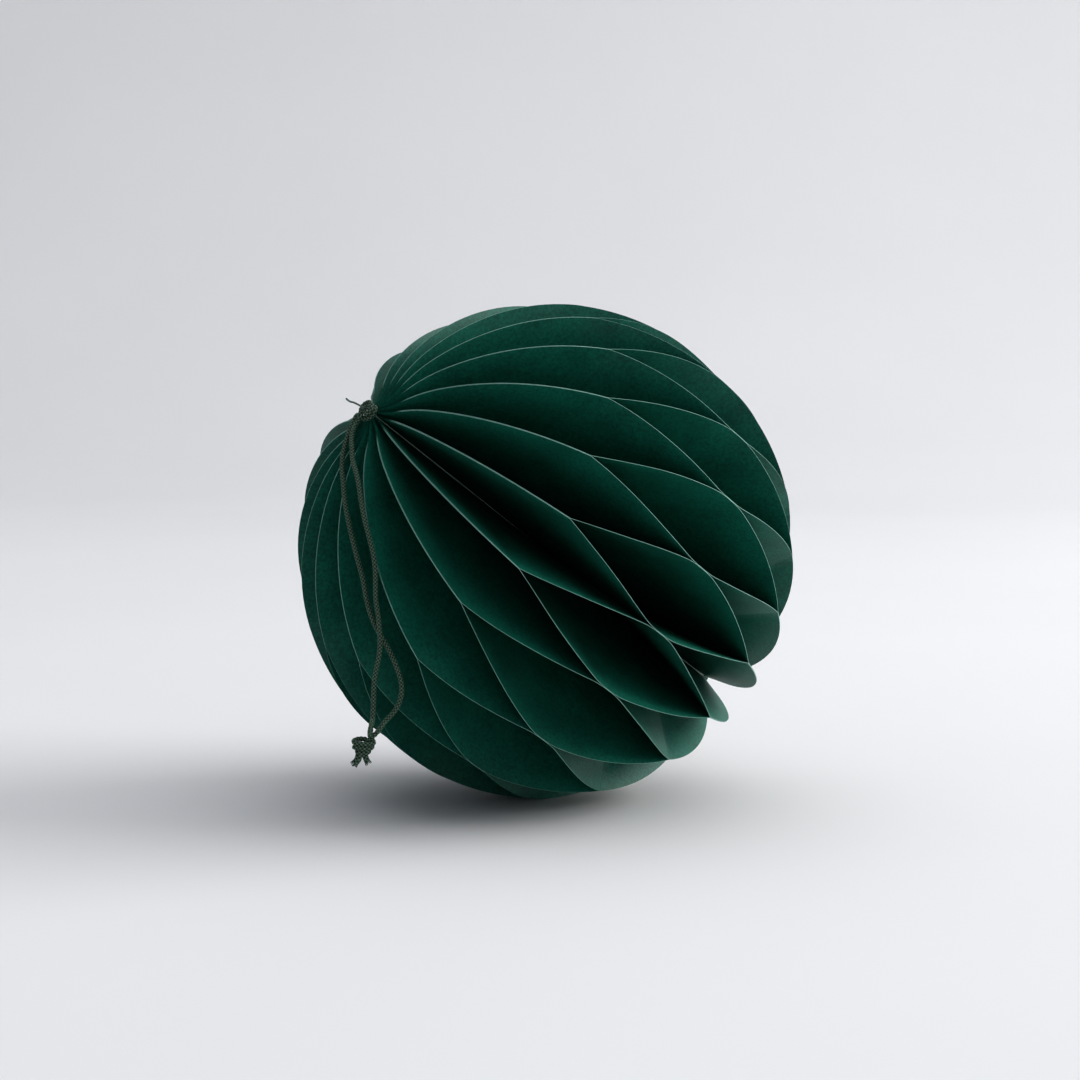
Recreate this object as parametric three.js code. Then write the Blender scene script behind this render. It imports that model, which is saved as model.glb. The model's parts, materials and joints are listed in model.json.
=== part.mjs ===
// A paper honeycomb ball lying on its side: forty half-round sheets fan out round one spine,
// glued to each other in turn near the poles and along the equator, with a cord at one pole.
// Millimetres, +Z up, origin on the surface that the ball lies on, below its centre.
import * as THREE from "three";

// Driving dimensions
const BALL_RADIUS = 75;
const SHEET_COUNT = 40;
const PAPER = 0.3; // thickness of one sheet
const GLUE_GAP = 0.3; // clearance left between two glued sheets
const INNER_RADIUS = 4.2; // where the sheets stop, round the spine
const STRIP_HALF_WIDTH = 3.9; // of the glued strip along the equator
const SPLIT_HEIGHT = 41.6; // how far from the equator a pair of sheets starts to part
const POLE_LATITUDE = 86; // degrees, where a sheet's round edge ends
const BULGE = 0.3; // how far a sheet bows out between the split and the strip
const SEAM_ANGLE = 198.7; // degrees round the spine from its lowest side to the closing seam
const SPINE_AZIMUTH = 215.03; // degrees, the way that the corded pole leans
const SPINE_ELEVATION = 35.06;
const CORD_DIAMETER = 1.5;
const CORD_SIDES = 8;
const THREAD_DIAMETER = 0.6;
const CLOSURE = { width: 6, thickness: 0.3, from: 16, to: 68 }; // strip of double-sided tape

const PITCH = 360 / SHEET_COUNT; // mean angle between two sheets
const POLE_STEPS = 5; // rows of facets from the pole to the split
const OPENING_STEPS = 4; // rows of facets from the split to the strip

// How far each glued plane stands from even spacing, in degrees, from the seam round to the
// seam again: a ball opened by hand is never quite even.
const STRAY = [
  0, 0.3, 0.5, 0.8, 1, 1.5, 1.2, 1, -0.6, -0.1, -0.74, -0.45, -0.2, 0.71, 1.2, 1.3, 2.8, 1.96,
  1.79, -0.4, -0.6, -4.06, -4.6, -4.3, -3.9, -3.5, -3, -2.6, -2.2, -1.8, -1.4, -1.1, -0.8,
  -0.5, -0.3, -0.1, 0, 0, 0, 0, 0,
];
const rad = THREE.MathUtils.degToRad;

// The hanging cord's two strands, from the knot at the pole to the knot at their ends,
// as points round the centre of the ball.
const FRONT_STRAND = [
  [-53.6, -35.4, 41.2], [-55.1, -36.1, 38.4], [-55.5, -38, 36.1], [-55.2, -41.1, 33.2],
  [-54.7, -44.2, 29.6], [-53.5, -47.6, 26.4], [-52.6, -50.1, 23.3], [-51.8, -52.6, 19],
  [-50.7, -55.2, 14.2], [-48.9, -58, 8], [-47.6, -59.6, 2.5], [-47.3, -59.9, -3],
  [-47.3, -59.9, -8], [-46.6, -59.9, -13], [-46.2, -59.9, -18], [-46.3, -59.9, -23],
  [-47.2, -59.8, -27.5], [-47.9, -59.7, -32], [-48.1, -59.6, -37], [-48.4, -59.5, -41.8],
  [-49.2, -59.5, -46.4],
];
const BACK_STRAND = [
  [-54.2, -33.6, 42.2], [-55.9, -34.4, 39.1], [-56.8, -35.9, 36.3], [-57.4, -37.4, 33.9],
  [-57.9, -38.9, 31.3], [-58, -41.5, 27.3], [-57.4, -44.6, 23.1], [-56.8, -47.4, 18.7],
  [-55.9, -49.8, 14.5], [-54.3, -52.9, 8.5], [-52.6, -55.2, 2.5], [-51, -56.8, -3],
  [-50.1, -57.4, -8], [-48.9, -57.8, -12.5], [-47.2, -58, -16.6], [-44.9, -58.1, -20.6],
  [-43, -58.5, -24.2], [-41.5, -59, -27.8], [-40.4, -59.4, -31.4], [-40.3, -59.5, -34.6],
  [-41.2, -59.5, -37.8], [-42.9, -59.5, -40.4], [-44.9, -59.4, -42.5], [-47, -59.3, -45.4],
];
const END_KNOT = { centre: [-51, -59.5, -49.3], size: [6.6, 4.6, 4] };
const LEFT_TAIL = [[-52.6, -59.6, -52], [-53, -59.7, -53.6], [-53.8, -59.8, -54.9]];
const RIGHT_TAIL = [[-50.2, -59.4, -52], [-50, -59.3, -53.4], [-50.1, -59.2, -54.6]];
const THREAD_TAIL = [[-54.8, -37.6, 45.9], [-56.9, -38.5, 47]];
const POLE_KNOT = { height: 77.3, size: [5, 5, 5.6] };

// Materials
const greenPaper = () =>
  new THREE.MeshStandardMaterial({ color: 0x0c3b2d, roughness: 0.85, metalness: 0 });
const greenCord = () =>
  new THREE.MeshStandardMaterial({ color: 0x34443a, roughness: 0.75, metalness: 0 });
const sewingThread = () =>
  new THREE.MeshStandardMaterial({ color: 0x5f7a6e, roughness: 0.6, metalness: 0 });
const clearTape = () =>
  new THREE.MeshStandardMaterial({ color: 0xd8d6c8, roughness: 0.4, metalness: 0 });

const mesh = (name, geometry, material) => {
  const made = new THREE.Mesh(geometry, material);
  made.name = name;
  return made;
};

// Heights of a sheet's rows of vertices: even in latitude between pole, split and strip.
function rowHeights() {
  const latitude = (height) => Math.asin(height / BALL_RADIUS);
  const stops = [rad(POLE_LATITUDE), latitude(SPLIT_HEIGHT), latitude(STRIP_HALF_WIDTH)];
  const upper = [];
  for (let i = 0; i < POLE_STEPS; i++)
    upper.push(THREE.MathUtils.lerp(stops[0], stops[1], i / POLE_STEPS));
  for (let i = 0; i <= OPENING_STEPS; i++)
    upper.push(THREE.MathUtils.lerp(stops[1], stops[2], i / OPENING_STEPS));
  const heights = upper.map((angle) => BALL_RADIUS * Math.sin(angle));
  return [...heights.map((h) => -h), ...heights.reverse()];
}

// 0 where a sheet lies against its own partner, 1 where it is glued to the next pair.
function opening(height) {
  const part = (SPLIT_HEIGHT - Math.abs(height)) / (SPLIT_HEIGHT - STRIP_HALF_WIDTH);
  const t = THREE.MathUtils.clamp(part, 0, 1);
  return t + BULGE * t * (1 - t);
}

// The angle round the spine of the glued plane between sheet `number` and the next one.
const planeAngle = (number) => SEAM_ANGLE - PITCH * number + STRAY[number];

// Where sheet number `index` runs: its angle at the poles, its angle at the equator, and
// the side of the glued line that it lies on at the poles. Odd sheets lead their pair.
function sheetPlace(index) {
  const leads = index % 2 === 1;
  const [poles, equator] = leads ? [index, index - 1] : [index - 1, index];
  return { side: leads ? 1 : -1, pole: planeAngle(poles), equator: planeAngle(equator) };
}

// Splits the quads of a box's second face along their other diagonal, as its first face has it,
// so that the two stay parallel when the box is twisted.
function matchDiagonals(box) {
  const corners = box.index.array;
  const { start, count } = box.groups[1];
  for (let i = start; i < start + count; i += 6) {
    const [a, b, d, , c] = corners.slice(i, i + 6);
    corners.set([a, b, c, a, c, d], i);
  }
}

// A box with one segment per row, bent into a half-round sheet of the fan.
function sheetGeometry(index) {
  const heights = rowHeights();
  const steps = heights.length - 1;
  const { side, pole, equator } = sheetPlace(index);
  const atSeam = index === 1 || index === SHEET_COUNT;
  const equatorOffset = (PAPER + GLUE_GAP) / 2 + (atSeam ? CLOSURE.thickness / 2 : 0);
  const poleOffset = (PAPER + GLUE_GAP) / 2;
  const geometry = new THREE.BoxGeometry(PAPER, 1, steps, 1, 1, steps);
  matchDiagonals(geometry);
  const points = geometry.attributes.position;
  for (let i = 0; i < points.count; i++) {
    const height = heights[Math.round(points.getZ(i) + steps / 2)];
    const outer = Math.sqrt(BALL_RADIUS ** 2 - height ** 2);
    const reach = points.getY(i) > 0 ? INNER_RADIUS : outer;
    const turn = opening(height);
    const angle = rad(THREE.MathUtils.lerp(pole, equator, turn));
    const offset = side * THREE.MathUtils.lerp(poleOffset, -equatorOffset, turn) + points.getX(i);
    points.setXYZ(
      i,
      reach * Math.cos(angle) - offset * Math.sin(angle),
      reach * Math.sin(angle) + offset * Math.cos(angle),
      height,
    );
  }
  geometry.computeVertexNormals();
  return geometry;
}

// A round cord through a list of points.
function cordGeometry(route, diameter) {
  const points = route.map((p) => new THREE.Vector3(...p));
  const section = new THREE.Shape();
  for (let i = 0; i < CORD_SIDES; i++) {
    const angle = (2 * Math.PI * (i + 0.5)) / CORD_SIDES;
    const corner = [Math.cos(angle), Math.sin(angle)].map((c) => (c * diameter) / 2);
    if (i) section.lineTo(...corner);
    else section.moveTo(...corner);
  }
  const extrudePath = new THREE.CatmullRomCurve3(points, false, "centripetal");
  const steps = Math.max(2, Math.ceil(extrudePath.getLength() / (2.2 * diameter)));
  return new THREE.ExtrudeGeometry(section, { steps, extrudePath, bevelEnabled: false });
}

// A knot's outer shape, without its turns.
function knotMesh(name, size, material) {
  const knot = mesh(name, new THREE.SphereGeometry(0.5, 12, 8), material);
  knot.scale.set(...size);
  return knot;
}

// The double-sided tape on the last sheet, in the strip where the closed ball's covers meet.
function closureStrip() {
  const length = CLOSURE.to - CLOSURE.from;
  const box = new THREE.BoxGeometry(length, CLOSURE.thickness, CLOSURE.width);
  const strip = mesh("closure_strip", box, clearTape());
  const angle = rad(planeAngle(0));
  const middle = (CLOSURE.from + CLOSURE.to) / 2;
  strip.position.set(middle * Math.cos(angle), middle * Math.sin(angle), 0);
  strip.rotation.z = angle;
  return strip;
}

// The thread that the sheets are sewn on, with the knot that stops it at the plain pole.
function spine() {
  const top = POLE_KNOT.height - POLE_KNOT.size[2] / 2 - GLUE_GAP;
  const length = top + BALL_RADIUS;
  const radius = THREAD_DIAMETER / 2;
  const rod = new THREE.CylinderGeometry(radius, radius, length, CORD_SIDES);
  const thread = mesh("spine_thread", rod, sewingThread());
  thread.rotation.x = Math.PI / 2;
  thread.position.z = top - length / 2;
  const knot = knotMesh("thread_knot", [2.4, 2.4, 2], sewingThread());
  knot.position.z = -BALL_RADIUS - 1 - GLUE_GAP;
  return [thread, knot];
}

// Everything that is built round the spine, with the corded pole on +Z.
function ball() {
  const group = new THREE.Group();
  for (let index = 1; index <= SHEET_COUNT; index++) {
    const name = `sheet_${String(index).padStart(2, "0")}`;
    group.add(mesh(name, sheetGeometry(index), greenPaper()));
  }
  const poleKnot = knotMesh("pole_knot", POLE_KNOT.size, greenCord());
  poleKnot.position.z = POLE_KNOT.height;
  group.add(closureStrip(), ...spine(), poleKnot);
  group.rotation.set(0, rad(90 - SPINE_ELEVATION), rad(SPINE_AZIMUTH), "ZYX");
  return group;
}

// The strands, the knot that joins them and the two cut ends below it.
function cord() {
  const group = new THREE.Group();
  const endKnot = knotMesh("end_knot", END_KNOT.size, greenCord());
  endKnot.position.set(...END_KNOT.centre);
  group.add(
    mesh("cord_strand_front", cordGeometry(FRONT_STRAND, CORD_DIAMETER), greenCord()),
    mesh("cord_strand_back", cordGeometry(BACK_STRAND, CORD_DIAMETER), greenCord()),
    endKnot,
    mesh("cord_tail_left", cordGeometry(LEFT_TAIL, CORD_DIAMETER), greenCord()),
    mesh("cord_tail_right", cordGeometry(RIGHT_TAIL, CORD_DIAMETER), greenCord()),
    mesh("thread_tail", cordGeometry(THREAD_TAIL, THREAD_DIAMETER), sewingThread()),
  );
  return group;
}

const group = new THREE.Group();
group.add(ball(), cord());
// The lowest edges of the sheets touch the surface that the ball lies on.
group.position.z = -new THREE.Box3().setFromObject(group, true).min.z;

export default group;
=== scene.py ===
"""Looks for a paper honeycomb ball lying on its side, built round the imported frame. Metres, +Z up."""
import json
import math

import bpy
import numpy as np
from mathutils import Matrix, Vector


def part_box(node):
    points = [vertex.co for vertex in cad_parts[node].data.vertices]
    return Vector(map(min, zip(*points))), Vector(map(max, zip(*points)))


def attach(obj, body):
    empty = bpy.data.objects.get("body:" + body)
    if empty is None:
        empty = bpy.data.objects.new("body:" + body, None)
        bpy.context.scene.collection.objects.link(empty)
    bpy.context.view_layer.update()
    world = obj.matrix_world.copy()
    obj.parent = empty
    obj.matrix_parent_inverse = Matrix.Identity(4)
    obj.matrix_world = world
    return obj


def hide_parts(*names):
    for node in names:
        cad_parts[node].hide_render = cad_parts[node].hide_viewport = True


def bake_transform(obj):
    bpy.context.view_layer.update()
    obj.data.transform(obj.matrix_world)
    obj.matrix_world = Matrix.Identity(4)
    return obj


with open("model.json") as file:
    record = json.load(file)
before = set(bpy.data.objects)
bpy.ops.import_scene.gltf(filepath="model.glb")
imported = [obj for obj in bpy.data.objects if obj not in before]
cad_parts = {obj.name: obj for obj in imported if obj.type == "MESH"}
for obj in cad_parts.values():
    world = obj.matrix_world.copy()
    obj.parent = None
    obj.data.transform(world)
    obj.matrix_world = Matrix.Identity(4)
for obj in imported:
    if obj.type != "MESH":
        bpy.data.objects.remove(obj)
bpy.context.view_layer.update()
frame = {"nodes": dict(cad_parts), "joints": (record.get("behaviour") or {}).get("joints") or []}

# Dimensions that the CAD model has too
BALL_RADIUS = 0.075
SHEET_COUNT = 40
ROOT_SHEET = 20  # the sheet that stays with the spine
PITCH = 360 / SHEET_COUNT
SEAM_ANGLE = 198.7
STRIP_HALF_WIDTH = 0.0039
BULGE = 0.3  # how far a sheet bows out on its way from its partner to the glued strip
CORD_RADIUS = 0.00075
THREAD_RADIUS = 0.0003
THREAD_SHORT_OF_POLE = 0.0008

# How far each glued plane stands from even spacing, in degrees, as in the CAD model
STRAY = [
    0, 0.3, 0.5, 0.8, 1, 1.5, 1.2, 1, -0.6, -0.1, -0.74, -0.45, -0.2, 0.71, 1.2, 1.3, 2.8, 1.96,
    1.79, -0.4, -0.6, -4.06, -4.6, -4.3, -3.9, -3.5, -3, -2.6, -2.2, -1.8, -1.4, -1.1, -0.8,
    -0.5, -0.3, -0.1, 0, 0, 0, 0, 0,
]
# Where each pair really parts, in millimetres from the equator, from the first pair on
PARTINGS = [40.9, 42.0, 41.2, 41.6, 41.6, 41.4, 38.7, 40.8, 44.2, 38.4,
            41.0, 42.3, 40.6, 41.9, 40.8, 42.2, 41.0, 42.4, 40.7, 41.6]

# The sheets' own finer shape
PAPER = 0.00015
RIM_RADIUS = 0.07495  # the finely stepped rims stay inside the CAD box
INNER_RADIUS = 0.00205
EASE = 0.05  # how softly the bow runs into the strip
GLUED_OFFSET = 0.000085  # from a glued line to the middle of a sheet's thickness
POLE_OFFSET = 0.00014  # the same at the poles, where a pair springs open a little
TAPE_OFFSET = 0.0003
DIMPLE = 0.04  # how far the rims sink in at the poles, as a share of the radius
DIMPLE_LATITUDE = 70
SAG = 0.055  # the same for the sheets behind the cord, which stand a little lower
SAGGING = range(33, 37)
SAG_LATITUDES = (42, 66)
POLE_LATITUDE = 87.2
WAVINESS = 0.0002
CREASE = 0.0007  # from a crease to the next row, so that it stays crisp
CELL_ROWS = 24  # from the strip to the parting
POLE_ROWS = 22  # from the parting to the pole
SHARP_EDGE = 40  # degrees; the cut edges stay crisp and the bends smooth
NOTCH_RADIUS = 0.0033  # the cut-away round the knot at each pole
NOTCH_HEIGHT = 0.0715

# Heights past the parting and short of the strip, as shares of the height between parting and strip, where
# a folding sheet's bend would start and end; the points are worked out but no bend is made
BEND_PAST_PARTING = 0.15
BEND_PAST_STRIP = 0.05

# Camera
CAMERA_ELEVATION = 5
CAMERA_DISTANCE = 0.69
CAMERA_LENS = 75.7
CAMERA_SHIFT = (-0.00546, 0.01037)


def unit(vector):
    vector = np.asarray(vector, float)
    return vector / np.linalg.norm(vector)


# The spine's own frame: up it, down the ball's underside, and level
SPINE = unit(frame["joints"][0]["axis"])
LEVEL = unit([-SPINE[1], SPINE[0], 0])
UNDER = np.cross(LEVEL, SPINE)
thread_low, thread_high = (np.array(corner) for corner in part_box("spine_thread"))
CENTRE = (thread_low + thread_high) / 2 + SPINE * THREAD_SHORT_OF_POLE / 2


def place(x, y, z):
    """Points in the row frame from coordinates round the spine."""
    x, y, z = np.broadcast_arrays(x, y, z)
    return CENTRE + x[..., None] * UNDER + y[..., None] * LEVEL + z[..., None] * SPINE


# ---------------------------------------------------------------- camera
def make_camera():
    data = bpy.data.cameras.new("camera")
    data.lens = CAMERA_LENS
    data.shift_x, data.shift_y = CAMERA_SHIFT
    camera = bpy.data.objects.new("camera", data)
    bpy.context.scene.collection.objects.link(camera)
    tilt = math.radians(CAMERA_ELEVATION)
    back = Vector((0, -math.cos(tilt), math.sin(tilt)))
    camera.location = Vector(CENTRE) + back * CAMERA_DISTANCE
    camera.rotation_euler = (-back).to_track_quat("-Z", "Y").to_euler()
    bpy.context.scene.camera = camera


make_camera()


# ---------------------------------------------------------------- meshes
def mesh_object(name, points, faces, materials, face_material=None, sharp=None):
    mesh = bpy.data.meshes.new(name)
    mesh.from_pydata(np.asarray(points).tolist(), [], faces)
    for material in materials:
        mesh.materials.append(material)
    mesh.polygons.foreach_set("use_smooth", [True] * len(mesh.polygons))
    if face_material is not None:
        mesh.polygons.foreach_set("material_index", face_material)
    if sharp is not None:
        mesh.set_sharp_from_angle(angle=math.radians(sharp))
    mesh.update()
    made = bpy.data.objects.new(name, mesh)
    bpy.context.scene.collection.objects.link(made)
    return made


def smooth_line(points, step):
    """Evenly spaced points along a centripetal Catmull-Rom curve through points."""
    p = np.asarray(points, float)
    p = np.vstack([2 * p[0] - p[1], p, 2 * p[-1] - p[-2]])
    line = []
    for i in range(1, len(p) - 2):
        p0, p1, p2, p3 = p[i - 1:i + 3]
        t1 = np.linalg.norm(p1 - p0) ** 0.5
        t2 = t1 + np.linalg.norm(p2 - p1) ** 0.5
        t3 = t2 + np.linalg.norm(p3 - p2) ** 0.5
        t = np.linspace(t1, t2, 24, endpoint=False)[:, None]
        a1 = (t1 - t) / t1 * p0 + t / t1 * p1
        a2 = (t2 - t) / (t2 - t1) * p1 + (t - t1) / (t2 - t1) * p2
        a3 = (t3 - t) / (t3 - t2) * p2 + (t - t2) / (t3 - t2) * p3
        b1 = (t2 - t) / t2 * a1 + t / t2 * a2
        b2 = (t3 - t) / (t3 - t1) * a2 + (t - t1) / (t3 - t1) * a3
        line.append((t2 - t) / (t2 - t1) * b1 + (t - t1) / (t2 - t1) * b2)
    dense = np.vstack([*line, p[-2][None]])
    along = np.r_[0, np.cumsum(np.linalg.norm(np.diff(dense, axis=0), axis=1))]
    even = np.linspace(0, along[-1], max(3, round(along[-1] / step) + 1))
    return np.stack([np.interp(even, along, dense[:, k]) for k in range(3)], axis=1)


def line_frames(line):
    """Two directions across the line at each of its points, turning as little as they can."""
    tangents = np.gradient(line, axis=0)
    tangents /= np.linalg.norm(tangents, axis=1)[:, None]
    across = unit(np.cross(tangents[0], [0.31, 0.27, 0.91]))
    sides = []
    for tangent in tangents:
        across = unit(across - tangent * (across @ tangent))
        sides.append((across, np.cross(tangent, across)))
    return tangents, np.array(sides)


def braid_relief(turn, along):
    """A round braid's surface, 0 in its grooves and 1 on its yarns: each yarn passes over and under."""
    twist = 2 * math.pi * along / BRAID_PITCH
    a, b = BRAID_YARNS * (turn + twist), BRAID_YARNS * (turn - twist)
    first, second = np.round(a / (2 * math.pi)), np.round(b / (2 * math.pi))
    over_a = 0.5 + 0.5 * np.cos(math.pi * (first + b / (2 * math.pi)))
    over_b = 0.5 - 0.5 * np.cos(math.pi * (second + a / (2 * math.pi)))
    ridge_a, ridge_b = (np.cos((x - 2 * math.pi * np.round(x / (2 * math.pi))) / 2) for x in (a, b))
    return np.maximum(ridge_a * (0.45 + 0.55 * over_a), ridge_b * (0.45 + 0.55 * over_b))


def ply_relief(turn, along):
    """Three plies twisted together."""
    return np.abs(np.cos(1.5 * turn + math.pi * 3 * along / THREAD_PITCH))


def tube(line, radius, sides, relief, depth, round_ends=(True, True)):
    """Points, faces and relief values of a closed tube along a line; the values set the painted groove
    shade, and the end caps get lower ones, so that shade darkens them too.
    """
    tangents, across = line_frames(line)
    along = np.r_[0, np.cumsum(np.linalg.norm(np.diff(line, axis=0), axis=1))]
    turn = np.linspace(0, 2 * math.pi, sides, endpoint=False)
    height = relief(turn[None, :], along[:, None])
    reach = radius - depth + depth * height
    cosine, sine = np.cos(turn)[None, :, None], np.sin(turn)[None, :, None]
    ring = cosine * across[:, None, 0] + sine * across[:, None, 1]
    points = [*(line[:, None] + reach[..., None] * ring).reshape(-1, 3)]
    values = [*height.ravel()]
    faces = []
    rings = len(line)
    for i in range(rings - 1):
        for j in range(sides):
            k = (j + 1) % sides
            faces.append((i * sides + j, i * sides + k, (i + 1) * sides + k, (i + 1) * sides + j))
    for end, sign in ((0, -1), (rings - 1, 1)):
        last = [end * sides + j for j in range(sides)]
        rounded = round_ends[0 if sign < 0 else 1]
        steps = ((0.45, 0.85), (0.8, 0.5)) if rounded else ((0.05, 0.93), (0.02, 0.5))
        for out, size in steps:
            start = len(points)
            centre = line[end] + sign * tangents[end] * out * radius
            for j in range(sides):
                points.append(centre + size * reach[end, j] * ring[end, j])
                values.append(height[end, j] * 0.8)
            new = list(range(start, start + sides))
            for j in range(sides):
                k = (j + 1) % sides
                quad = (last[j], last[k], new[k], new[j])
                faces.append(quad if sign > 0 else quad[::-1])
            last = new
        points.append(line[end] + sign * tangents[end] * (0.95 if rounded else 0.0) * radius)
        values.append(0.5)
        tip = len(points) - 1
        for j in range(sides):
            k = (j + 1) % sides
            faces.append((last[j], last[k], tip) if sign > 0 else (last[k], last[j], tip))
    return np.array(points), faces, values


def join(parts):
    """Several tubes as one mesh's points, faces and values."""
    points, faces, values = [], [], []
    for part_points, part_faces, part_values in parts:
        start = sum(len(p) for p in points)
        faces += [tuple(i + start for i in face) for face in part_faces]
        points.append(part_points)
        values += part_values
    return np.vstack(points), faces, values


def tube_object(name, parts, material):
    points, faces, values = join(parts)
    made = mesh_object(name, points, faces, [material])
    # the relief values are the mask for the cord material's painted groove shade
    attribute = made.data.attributes.new("relief", "FLOAT", "POINT")
    attribute.data.foreach_set("value", np.asarray(values, np.float32))
    return made


# ---------------------------------------------------------------- materials
def principled(name):
    material = bpy.data.materials.new(name)
    material.use_nodes = True
    nodes, links = material.node_tree.nodes, material.node_tree.links
    return material, nodes, links, nodes["Principled BSDF"]


def noise(nodes, links, scale, detail=3.0, roughness=0.5, stretch=None):
    """A noise over the row frame, scale in waves per metre."""
    place_node = nodes.new("ShaderNodeTexCoord")
    texture = nodes.new("ShaderNodeTexNoise")
    texture.inputs["Scale"].default_value = scale
    texture.inputs["Detail"].default_value = detail
    texture.inputs["Roughness"].default_value = roughness
    if stretch is None:
        links.new(place_node.outputs["Object"], texture.inputs["Vector"])
    else:
        mapping = nodes.new("ShaderNodeMapping")
        mapping.inputs["Scale"].default_value = stretch
        links.new(place_node.outputs["Object"], mapping.inputs["Vector"])
        links.new(mapping.outputs["Vector"], texture.inputs["Vector"])
    return texture.outputs["Fac"]


def ramp(nodes, links, value, low, high, dark, light):
    """Colours from dark at low to light at high."""
    made = nodes.new("ShaderNodeValToRGB")
    made.color_ramp.elements[0].position = low
    made.color_ramp.elements[0].color = (*dark, 1)
    made.color_ramp.elements[1].position = high
    made.color_ramp.elements[1].color = (*light, 1)
    links.new(value, made.inputs["Fac"])
    return made.outputs["Color"]


def multiplied(nodes, links, first, second):
    """The product of two colours."""
    made = nodes.new("ShaderNodeMix")
    made.data_type = "RGBA"
    made.blend_type = "MULTIPLY"
    made.inputs["Factor"].default_value = 1
    links.new(first, made.inputs["A"])
    links.new(second, made.inputs["B"])
    return made.outputs["Result"]


def bump(nodes, links, height, strength, distance, shader=None, before=None):
    """A bump's normal, on top of another's if given and linked to a shader if given."""
    made = nodes.new("ShaderNodeBump")
    made.inputs["Strength"].default_value = strength
    made.inputs["Distance"].default_value = distance
    links.new(height, made.inputs["Height"])
    if before is not None:
        links.new(before, made.inputs["Normal"])
    if shader is not None:
        links.new(made.outputs["Normal"], shader.inputs["Normal"])
    return made.outputs["Normal"]


def paper_material():
    """Heavy through-dyed card: matte, faintly cloudy, with fine fibres and a tooth in the light."""
    material, nodes, links, shader = principled("green_paper")
    cloud = ramp(nodes, links, noise(nodes, links, 90, 4), 0.3, 0.7,
                 (0.0055, 0.108, 0.074), (0.0085, 0.150, 0.104))
    fibre = ramp(nodes, links, noise(nodes, links, 1100, 4, 0.8), 0.35, 0.66,
                 (0.6, 0.64, 0.64), (1.42, 1.33, 1.33))
    links.new(multiplied(nodes, links, cloud, fibre), shader.inputs["Base Color"])
    shader.inputs["Roughness"].default_value = 0.5
    shader.inputs["Specular IOR Level"].default_value = 0.32
    tooth = bump(nodes, links, noise(nodes, links, 3400, 3, 0.6), 0.35, 0.00004)
    bump(nodes, links, noise(nodes, links, 260, 2), 0.12, 0.0003, shader, tooth)
    return material


def paper_edge_material():
    """The cut edge of the same card, which is paler than its faces."""
    material, nodes, links, shader = principled("green_paper_edge")
    colour = ramp(nodes, links, noise(nodes, links, 700, 3), 0.3, 0.7,
                  (0.19, 0.35, 0.30), (0.28, 0.46, 0.40))
    links.new(colour, shader.inputs["Base Color"])
    shader.inputs["Roughness"].default_value = 0.7
    shader.inputs["Specular IOR Level"].default_value = 0.4
    bump(nodes, links, noise(nodes, links, 5000, 2), 0.3, 0.00003, shader)
    return material


def cord_material(name, painted_groove_shade, yarn, roughness, sheen):
    """Painted shade: the colour runs from dark in the grooves between the yarns to pale on their tops,
    with fine fibres along them.
    """
    material, nodes, links, shader = principled(name)
    relief = nodes.new("ShaderNodeAttribute")
    relief.attribute_name = "relief"
    # painted shade in the grooves, set by the braid's relief
    base = ramp(nodes, links, relief.outputs["Fac"], 0.5, 0.95, painted_groove_shade, yarn)
    fibre = ramp(nodes, links, noise(nodes, links, 5200, 3, 0.7), 0.3, 0.7,
                 (0.7, 0.72, 0.7), (1.3, 1.28, 1.25))
    links.new(multiplied(nodes, links, base, fibre), shader.inputs["Base Color"])
    shader.inputs["Roughness"].default_value = roughness
    shader.inputs["Specular IOR Level"].default_value = 0.3
    shader.inputs["Sheen Weight"].default_value = sheen
    shader.inputs["Sheen Roughness"].default_value = 0.35
    bump(nodes, links, noise(nodes, links, 7000, 2), 0.5, 0.00004, shader)
    return material


def plain_thread_material():
    """The same thread on the plain CAD rod inside the ball."""
    material, nodes, links, shader = principled("sewing_thread_plain")
    fibre = ramp(nodes, links, noise(nodes, links, 2400, 3, 0.6, (1, 1, 0.4)), 0.3, 0.7,
                 (0.07, 0.12, 0.095), (0.16, 0.23, 0.19))
    links.new(fibre, shader.inputs["Base Color"])
    shader.inputs["Roughness"].default_value = 0.5
    bump(nodes, links, noise(nodes, links, 3000, 2), 0.5, 0.00006, shader)
    return material


def tape_material():
    """Double-sided tape: yellowish backing, a little shiny."""
    material, nodes, links, shader = principled("adhesive_tape")
    colour = ramp(nodes, links, noise(nodes, links, 400, 3), 0.3, 0.7,
                  (0.55, 0.53, 0.44), (0.68, 0.66, 0.58))
    links.new(colour, shader.inputs["Base Color"])
    shader.inputs["Roughness"].default_value = 0.38
    bump(nodes, links, noise(nodes, links, 900, 2), 0.2, 0.0001, shader)
    return material


PAPER_FACE = paper_material()
PAPER_EDGE = paper_edge_material()
# the first colour of each cord is painted shade for its grooves, the second its yarns' own colour
CORD = cord_material("waxed_cord", (0.004, 0.009, 0.006), (0.125, 0.22, 0.155), 0.6, 0.03)
THREAD = cord_material("sewing_thread", (0.03, 0.055, 0.045), (0.17, 0.235, 0.2), 0.5, 0.1)

# ---------------------------------------------------------------- cords
BRAID_YARNS = 4
BRAID_PITCH = 0.0042
BRAID_DEPTH = 0.00022
THREAD_PITCH = 0.0016
TUBE_STEP = 0.00016
TUBE_SIDES = 30
KNOTTED_RADIUS = CORD_RADIUS * 0.985  # the cord is pulled a little thinner in the knots
LEFT_TAIL_RADIUS = 0.00105  # the cut ends have swollen where the braid comes undone
RIGHT_TAIL_RADIUS = 0.0009
LOOSE_YARNS = 14
YARN_TURN = 2.4  # about the golden angle, so that the loose yarns spread evenly
THREAD_STEP = 0.00008

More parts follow.
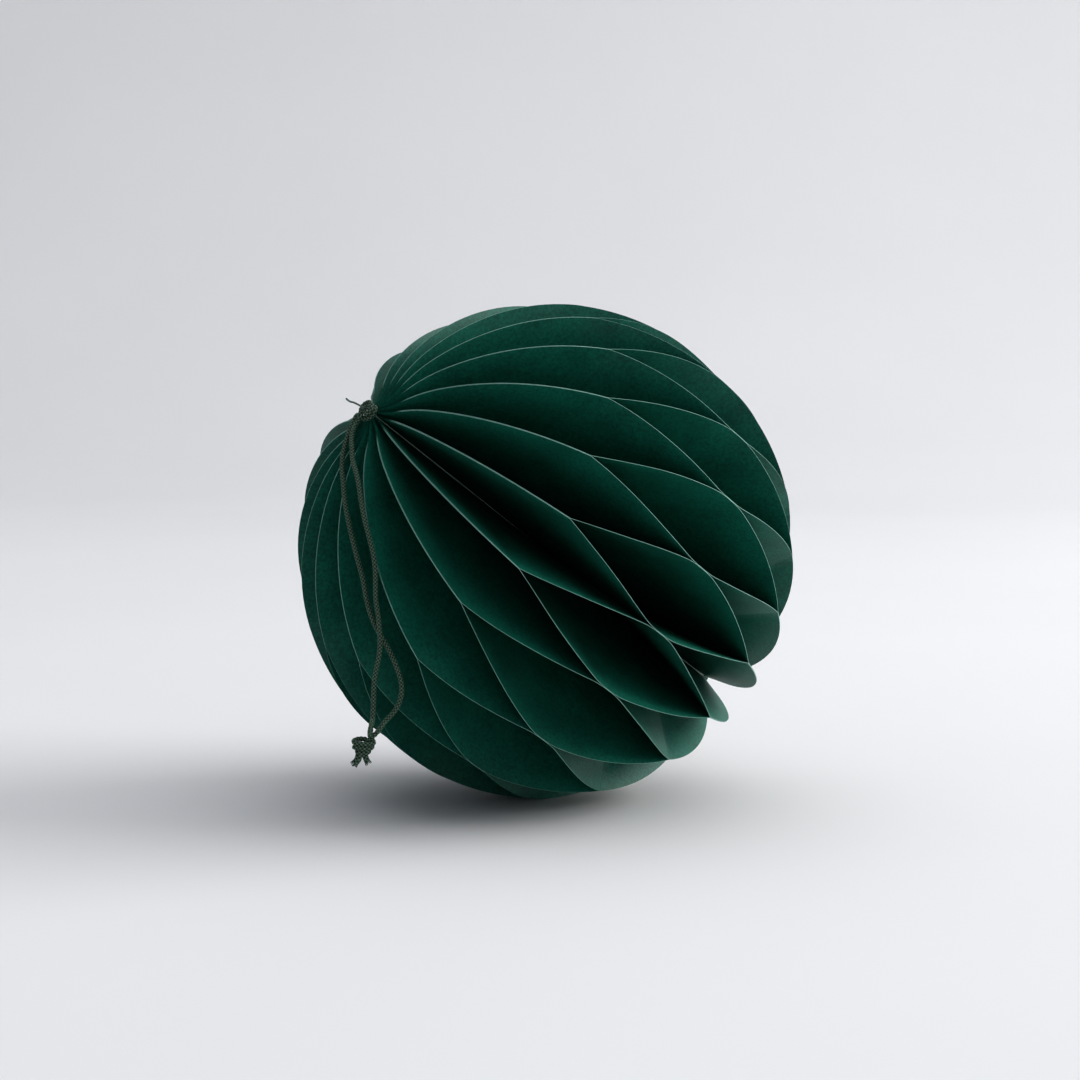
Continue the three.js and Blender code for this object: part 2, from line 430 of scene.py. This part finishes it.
# Routes round the ball's centre: the strands' are the CAD model's, and the tails' lie closer together
FRONT_STRAND = [
    (-0.0536, -0.0354, 0.0412), (-0.0551, -0.0361, 0.0384), (-0.0555, -0.0380, 0.0361),
    (-0.0552, -0.0411, 0.0332), (-0.0547, -0.0442, 0.0296), (-0.0535, -0.0476, 0.0264),
    (-0.0526, -0.0501, 0.0233), (-0.0518, -0.0526, 0.0190), (-0.0507, -0.0552, 0.0142),
    (-0.0489, -0.0580, 0.0080), (-0.0476, -0.0596, 0.0025), (-0.0473, -0.0599, -0.0030),
    (-0.0473, -0.0599, -0.0080), (-0.0466, -0.0599, -0.0130), (-0.0462, -0.0599, -0.0180),
    (-0.0463, -0.0599, -0.0230), (-0.0472, -0.0598, -0.0275), (-0.0479, -0.0597, -0.0320),
    (-0.0481, -0.0596, -0.0370), (-0.0484, -0.0595, -0.0418), (-0.0492, -0.0595, -0.0464),
]
BACK_STRAND = [
    (-0.0542, -0.0336, 0.0422), (-0.0559, -0.0344, 0.0391), (-0.0568, -0.0359, 0.0363),
    (-0.0574, -0.0374, 0.0339), (-0.0579, -0.0389, 0.0313), (-0.0580, -0.0415, 0.0273),
    (-0.0574, -0.0446, 0.0231), (-0.0568, -0.0474, 0.0187), (-0.0559, -0.0498, 0.0145),
    (-0.0543, -0.0529, 0.0085), (-0.0526, -0.0552, 0.0025), (-0.0510, -0.0568, -0.0030),
    (-0.0501, -0.0574, -0.0080), (-0.0489, -0.0578, -0.0125), (-0.0472, -0.0580, -0.0166),
    (-0.0449, -0.0581, -0.0206), (-0.0430, -0.0585, -0.0242), (-0.0415, -0.0590, -0.0278),
    (-0.0404, -0.0594, -0.0314), (-0.0403, -0.0595, -0.0346), (-0.0412, -0.0595, -0.0378),
    (-0.0429, -0.0595, -0.0404), (-0.0449, -0.0594, -0.0425), (-0.0470, -0.0593, -0.0454),
]
LEFT_TAIL = [(-0.0522, -0.0596, -0.0516), (-0.0526, -0.0597, -0.0532), (-0.0535, -0.0598, -0.0543)]
RIGHT_TAIL = [(-0.0508, -0.0594, -0.0516), (-0.0504, -0.0593, -0.0529), (-0.0500, -0.0592, -0.0539)]
THREAD_TAIL = [(-0.0548, -0.0376, 0.0459), (-0.0569, -0.0385, 0.0470)]
END_KNOT = np.array((-0.0510, -0.0595, -0.0493))
POLE_KNOT_HEIGHT = 0.0760

# The cord's turns round the spine at the pole: angle, distance from the spine and height,
# in degrees and millimetres from the knot's middle, from the front strand to the back one
POLE_TURNS = [
    (213, 2.6, 0.7), (188, 2.0, 0.95), (155, 1.85, 1.1), (120, 1.95, 1.15), (80, 2.0, 1.1),
    (40, 2.1, 0.95), (0, 2.15, 0.7), (325, 2.1, 0.45), (285, 1.9, 0.3), (245, 1.4, 0.4),
    (205, 0.8, 0.7), (140, 0.55, 0.95), (80, 0.6, 1.0), (20, 0.7, 0.7), (325, 0.9, 0.1),
    (285, 1.1, -0.6), (240, 1.2, -1.1), (190, 1.4, -1.3), (130, 1.6, -1.3), (70, 1.8, -1.2),
    (10, 2.0, -1.1), (320, 2.1, -1.1), (280, 2.2, -1.1), (245, 2.35, -0.95), (215, 2.6, -0.55),
    (190, 3.1, -0.1),
]
# The two cords' ways through the end knot: right, away and up from its middle, in millimetres
FIRST_CORD = [
    (2.5, 0.2, 1.5), (2.8, -0.7, 0.75), (1.3, -1.6, 0.55), (-0.6, -1.7, 0.7), (-2.3, -1.1, 0.95),
    (-2.6, 0.1, 1.3), (-1.5, 1.1, 1.6), (0.2, 1.2, 1.55), (1.9, 0.9, 0.8), (2.4, -0.3, -0.35),
    (1.3, -1.6, -0.75), (-0.4, -1.8, -0.6), (-2.2, -1.2, -0.3), (-2.5, -0.1, -0.5),
    (-1.6, 0.9, -0.9), (-1.2, 0.2, -1.8),
]
SECOND_CORD = [
    (2.3, 0.1, 2.2), (1.3, 0.0, 1.2), (0.4, 0.1, 0.4), (-0.4, 0.2, -0.3), (-1.4, 0.0, -1.2),
    (-1.7, -0.7, -1.65), (-0.9, -1.4, -1.8), (0.4, -1.5, -1.85), (1.4, -0.9, -1.7),
    (1.4, 0.2, -1.5), (0.5, 0.5, -1.8),
]


def round_centre(route):
    """A route round the ball's centre, in the row frame."""
    return np.asarray(route) + CENTRE


def pole_knot_route():
    """The cord's turns at the pole, with a short overlap of each strand."""
    right = unit(np.array((1, 0, 0)) - SPINE * SPINE[0])
    away = np.cross(SPINE, right)
    middle = SPINE * POLE_KNOT_HEIGHT
    turns = []
    for angle, reach, height in POLE_TURNS:
        turn = math.radians(angle)
        side = math.cos(turn) * right + math.sin(turn) * away
        turns.append(middle + (reach * side + height * SPINE) / 1000)
    return round_centre([FRONT_STRAND[1], FRONT_STRAND[0], *turns, BACK_STRAND[0], BACK_STRAND[1]])


def end_knot_routes():
    """Both cords' ways from the strands' ends through the knot to the tails."""
    inside = [[END_KNOT + np.array(p) / 1000 for p in way] for way in (FIRST_CORD, SECOND_CORD)]
    return (round_centre([*FRONT_STRAND[-2:], *inside[0], *LEFT_TAIL[:2]]),
            round_centre([*BACK_STRAND[-2:], *inside[1], *RIGHT_TAIL[:2]]))


def knotted_cord(route):
    """The cord along a route through a knot."""
    return tube(smooth_line(route, TUBE_STEP), KNOTTED_RADIUS, TUBE_SIDES, braid_relief, BRAID_DEPTH)


def frayed_end(tail, radius):
    """A cut tail: the braid, and short loose yarn ends that stand out of the cut."""
    line = smooth_line(round_centre(tail), 0.00012)
    parts = [tube(line, radius, TUBE_SIDES, braid_relief, BRAID_DEPTH, (True, False))]
    tangents, across = line_frames(line)
    for i in range(LOOSE_YARNS):
        turn = YARN_TURN * i
        side = math.cos(turn) * across[-1, 0] + math.sin(turn) * across[-1, 1]
        root = line[-1] + side * radius * 0.85 * math.sqrt((i + 0.5) / LOOSE_YARNS) - tangents[-1] * 0.0003
        tip = root + tangents[-1] * (0.0007 + 0.00014 * (i % 4)) + side * 0.00024
        yarn = smooth_line([root, (root + tip) / 2 + side * 0.00003, tip], 0.0001)
        parts.append(tube(yarn, 0.00014, 8, ply_relief, 0.00002))
    return parts


def make_cords():
    """The two hanging strands, the knots at their ends and the cut tails."""
    for name, route in (("cord_strand_front", FRONT_STRAND), ("cord_strand_back", BACK_STRAND)):
        line = smooth_line(round_centre(route), TUBE_STEP)
        braid = tube(line, CORD_RADIUS, TUBE_SIDES, braid_relief, BRAID_DEPTH)
        strand = tube_object(name + "_braid", [braid], CORD)
        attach(strand, "spine")
        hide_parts(name)
    first, second = end_knot_routes()
    knots = {
        "pole_knot": [knotted_cord(pole_knot_route())],
        "end_knot": [knotted_cord(first), knotted_cord(second)],
        "cord_tail_left": frayed_end(LEFT_TAIL, LEFT_TAIL_RADIUS),
        "cord_tail_right": frayed_end(RIGHT_TAIL, RIGHT_TAIL_RADIUS),
    }
    for name, parts in knots.items():
        piece = tube_object(name + "_braid", parts, CORD)
        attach(piece, "spine")
        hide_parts(name)


make_cords()


def make_threads():
    """The thread's cut end at the corded pole and its knot at the plain one."""
    start = SPINE * POLE_KNOT_HEIGHT + np.array((-0.0012, -0.0006, 0.0008))
    bend = (np.array(THREAD_TAIL[0]) + THREAD_TAIL[1]) / 2 + np.array((-0.0001, 0, -0.0002))
    line = smooth_line(round_centre([start, THREAD_TAIL[0], bend, THREAD_TAIL[1]]), THREAD_STEP)
    twist = tube(line, THREAD_RADIUS, 18, ply_relief, 0.00007)
    tail = tube_object("thread_tail_twist", [twist], THREAD)
    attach(tail, "spine")
    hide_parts("thread_tail")

    low = -BALL_RADIUS
    route = [(0, 0, low + 0.0012), (0.0002, 0.0001, low - 0.0002)]
    for i in range(17):
        turn = math.radians(50 * i)
        route.append((0.00062 * math.cos(turn), 0.00062 * math.sin(turn), low - 0.0004 - 0.000085 * i))
    route += [(0.0001, -0.0003, low - 0.0019), (-0.0006, -0.0010, low - 0.0020)]
    points = place(*np.array(route).T)
    twist = tube(smooth_line(points, THREAD_STEP), THREAD_RADIUS, 16, ply_relief, 0.00006)
    knot = tube_object("thread_knot_twist", [twist], THREAD)
    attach(knot, "spine")
    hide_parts("thread_knot")


def dress(node, material):
    """Gives a carried-over CAD node its material."""
    materials = frame["nodes"][node].data.materials
    materials.clear()
    materials.append(material)


make_threads()
dress("spine_thread", plain_thread_material())
dress("closure_strip", tape_material())


# ---------------------------------------------------------------- sheets
def plane_angle(number):
    """The angle of the glued plane between sheet number and the next, round the spine."""
    return SEAM_ANGLE - PITCH * number + STRAY[number]


def plane_body(number):
    """The CAD body that carries that plane."""
    sheet = number if number >= ROOT_SHEET else number + 1
    return "spine" if sheet == ROOT_SHEET else f"sheet_{sheet:02d}"


def row_heights(parting):
    """Heights of a half sheet's rows from the equator to the pole, closer at the creases."""
    split, strip = (math.asin(height / BALL_RADIUS) for height in (parting, STRIP_HALF_WIDTH))
    pole = math.radians(POLE_LATITUDE)
    heights = [0, STRIP_HALF_WIDTH / 2, STRIP_HALF_WIDTH, STRIP_HALF_WIDTH + CREASE]
    heights += [BALL_RADIUS * math.sin(a) for a in np.linspace(strip, split, CELL_ROWS)[1:-1]]
    heights += [parting - CREASE, parting]
    heights += [BALL_RADIUS * math.sin(a) for a in np.linspace(split, pole, POLE_ROWS)[1:]]
    return np.array(sorted(heights))


COLUMNS = np.array([0, 0.04, 0.12, 0.24, 0.38, 0.52, 0.66, 0.79, 0.9, 0.96, 1])


def opened(height, parting):
    """0 where a sheet lies against its partner, 1 at the glued strip: evenly, then bowed and eased."""
    t = np.maximum((parting - height) / (parting - STRIP_HALF_WIDTH), 0)
    turn = t + BULGE * t * (1 - t)
    share = np.clip(0.5 + 0.5 * (1 - turn) / EASE, 0, 1)
    return np.minimum(t, 1), 1 + share * (turn - 1) - EASE * share * (1 - share)


def waviness(index, half, share, t):
    """How a sheet strays from its ruled shape between its glued lines, as hand-opened paper does."""
    free = 16 * (t * (1 - t)) ** 2
    phase = 1.7 * index + 2.3 * half
    slow = math.sin(phase) * share * share
    cross = 0.4 * np.sin(2.6 * share + 5 * t + 1.3 * phase) * share
    return WAVINESS * free * (slow + cross)


def half_sheet(index, half):
    """One half of a sheet, from the equator to a pole: half is 1 towards the corded pole, -1 away."""
    leads = index % 2 == 1
    side = 1 if leads else -1
    pole_plane, equator_plane = (index, index - 1) if leads else (index - 1, index)
    at_seam = index in (1, SHEET_COUNT)
    parting = PARTINGS[(index - 1) // 2] / 1000
    height = row_heights(parting)[:, None]
    rise = np.clip((height - parting) / (BALL_RADIUS - parting), 0, 1)
    rim = np.sqrt(RIM_RADIUS ** 2 - height ** 2)
    sunk = np.degrees(np.arcsin(height / BALL_RADIUS)) - DIMPLE_LATITUDE
    shrink = 1 - DIMPLE * np.clip(sunk / (90 - DIMPLE_LATITUDE), 0, 1) ** 2
    if index in SAGGING and half > 0:
        latitude = sunk + DIMPLE_LATITUDE
        share = np.clip((latitude - SAG_LATITUDES[0]) / (SAG_LATITUDES[1] - SAG_LATITUDES[0]), 0, 1)
        shrink = shrink - SAG * share ** 2 * (3 - 2 * share)
    notch = np.clip((height - NOTCH_HEIGHT) / (height[-1] - NOTCH_HEIGHT), 0, 1)
    inner = INNER_RADIUS + (NOTCH_RADIUS - INNER_RADIUS) * notch ** 2
    reach = inner + (rim * shrink - inner) * COLUMNS[None, :]
    height_there = height * (1 + (shrink - 1) * COLUMNS[None, :])
    t, turn = opened(height, parting)
    angle = np.radians(plane_angle(pole_plane) * (1 - turn) + plane_angle(equator_plane) * turn)
    near = GLUED_OFFSET + (POLE_OFFSET - GLUED_OFFSET) * rise
    far = TAPE_OFFSET if at_seam else GLUED_OFFSET
    middle = side * (near * (1 - turn) - far * turn) + waviness(index, half, COLUMNS[None, :], t)
    points = []
    for face in (-1, 1):
        offset = middle + face * PAPER / 2
        points.append(place(reach * np.cos(angle) - offset * np.sin(angle),
                            reach * np.sin(angle) + offset * np.cos(angle), half * height_there))
    rows, columns = reach.shape
    points = np.array(points).reshape(-1, 3)
    corner = lambda face, i, j: (face * rows + i) * columns + j
    faces, edge = [], []
    for i in range(rows - 1):
        for j in range(columns - 1):
            quad = (corner(0, i, j), corner(0, i, j + 1), corner(0, i + 1, j + 1), corner(0, i + 1, j))
            faces += [quad, tuple(k + rows * columns for k in quad[::-1])]
            edge += [0, 0]
    border = ([(i, columns - 1) for i in range(rows)] + [(rows - 1, j) for j in range(columns - 2, -1, -1)]
              + [(i, 0) for i in range(rows - 2, -1, -1)] + [(0, j) for j in range(1, columns - 1)])
    for (i, j), (k, m) in zip(border, border[1:] + border[:1]):
        faces.append((corner(0, i, j), corner(1, i, j), corner(1, k, m), corner(0, k, m)))
        edge.append(int(j == m == columns - 1))
    if half < 0:
        faces = [face[::-1] for face in faces]
    name = f"sheet_{index:02d}"
    made = mesh_object(name + ("_upper" if half > 0 else "_lower"), points, faces,
                       [PAPER_FACE, PAPER_EDGE], edge, SHARP_EDGE)
    bodies = plane_body(pole_plane), plane_body(equator_plane)
    if bodies[0] == bodies[1]:
        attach(made, bodies[0])
    else:
        free = parting - STRIP_HALF_WIDTH
        place(0, 0, half * (parting + BEND_PAST_PARTING * free))
        place(0, 0, half * (STRIP_HALF_WIDTH - BEND_PAST_STRIP * free))
        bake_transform(made)
    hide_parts(name)


for sheet_number in range(1, SHEET_COUNT + 1):
    half_sheet(sheet_number, 1)
    half_sheet(sheet_number, -1)


# ---------------------------------------------------------------- floor and lights
def make_stage():
    """A pale sweep: a floor that curves up into a wall behind."""
    front, bend, radius, top, half_width = -2.2, 1.3, 0.9, 3.2, 4.0
    profile = [(front, 0.0), (bend - 1.0, 0.0), (bend, 0.0)]
    for i in range(1, 17):
        turn = math.radians(90 * i / 16)
        profile.append((bend + radius * math.sin(turn), radius * (1 - math.cos(turn))))
    profile.append((bend + radius, top))
    points = [(x, y, z - 0.0001) for y, z in profile for x in (-half_width, half_width)]
    faces = [(2 * i, 2 * i + 1, 2 * i + 3, 2 * i + 2) for i in range(len(profile) - 1)]
    material, nodes, links, shader = principled("backdrop")
    colour = ramp(nodes, links, noise(nodes, links, 3, 2), 0.3, 0.7,
                  (0.73, 0.728, 0.735), (0.75, 0.748, 0.755))
    links.new(colour, shader.inputs["Base Color"])
    shader.inputs["Roughness"].default_value = 0.9
    shader.inputs["Specular IOR Level"].default_value = 0.1
    sweep = mesh_object("backdrop", points, faces, [material])


def area_light(name, location, target, size, power, colour):
    data = bpy.data.lights.new(name, "AREA")
    data.shape = "RECTANGLE"
    data.size, data.size_y = size
    data.energy = power
    data.color = colour
    light = bpy.data.objects.new(name, data)
    bpy.context.scene.collection.objects.link(light)
    light.location = location
    light.rotation_euler = (Vector(target) - Vector(location)).to_track_quat("-Z", "Y").to_euler()


def make_lights():
    """A room that is brighter at the right, a window on that side and a soft ceiling."""
    world = bpy.data.worlds.new("room")
    world.use_nodes = True
    nodes, links = world.node_tree.nodes, world.node_tree.links
    direction = nodes.new("ShaderNodeTexCoord")
    towards = nodes.new("ShaderNodeVectorMath")
    towards.operation = "DOT_PRODUCT"
    towards.inputs[1].default_value = unit((0.75, 0.35, 0.55))
    links.new(direction.outputs["Generated"], towards.inputs[0])
    sky = ramp(nodes, links, towards.outputs["Value"], 0.0, 0.75,
               (0.295, 0.31, 0.345), (0.97, 0.98, 1))
    links.new(sky, nodes["Background"].inputs["Color"])
    nodes["Background"].inputs["Strength"].default_value = 0.75
    bpy.context.scene.world = world
    area_light("window", (1.9, 0.2, 0.9), (0, 0, 0.05), (1.6, 1.2), 31, (1, 0.99, 0.975))
    area_light("ceiling", (0.4, 0.4, 2.2), (0, 0, 0), (4.0, 4.0), 27, (0.96, 0.98, 1))


make_stage()
make_lights()
bpy.context.scene.view_settings.view_transform = "Standard"
bpy.context.scene.view_settings.look = "Medium High Contrast"
